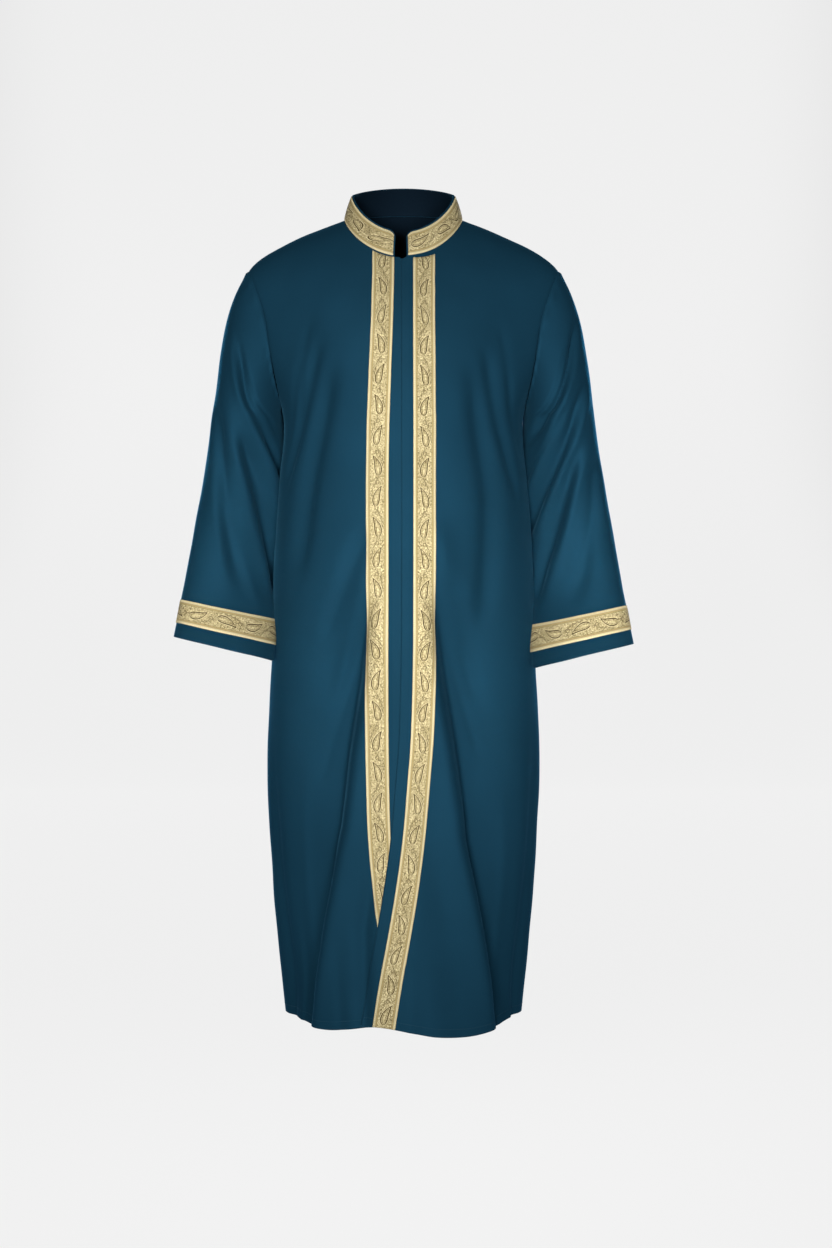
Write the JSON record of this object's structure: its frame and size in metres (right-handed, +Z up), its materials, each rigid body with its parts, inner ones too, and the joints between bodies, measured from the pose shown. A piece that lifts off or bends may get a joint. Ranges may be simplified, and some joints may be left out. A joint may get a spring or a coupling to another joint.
{
  "type": "bisht cloak",
  "caption": "Long front-opening robe in its hollow worn form, with a stand collar, long sleeves and patterned ribbon on the collar, down the front edges and round the cuffs.",
  "frame": {"origin": "midway between the two points where the shoulder seams meet the collar, at the wearer's neck and shoulders", "axes": "+Z up along the wearer, -Y the way the front faces, +X to the wearer's left"},
  "size_m": [0.6871, 0.3128, 1.2672],
  "materials": {
    "cloth": "smooth, softly sheened deep teal-blue twill",
    "ribbon": "gold jacquard with raised paisley figures"
  },
  "bodies": {
    "root": {"front_right": "cloth", "front_left": "cloth", "back": "cloth", "sleeve_right": "cloth", "sleeve_left": "cloth", "collar": "cloth", "collar_band": "ribbon", "front_band_right": "ribbon", "front_band_left": "ribbon", "cuff_band_right": "ribbon", "cuff_band_left": "ribbon"}
  },
  "joints": []
}
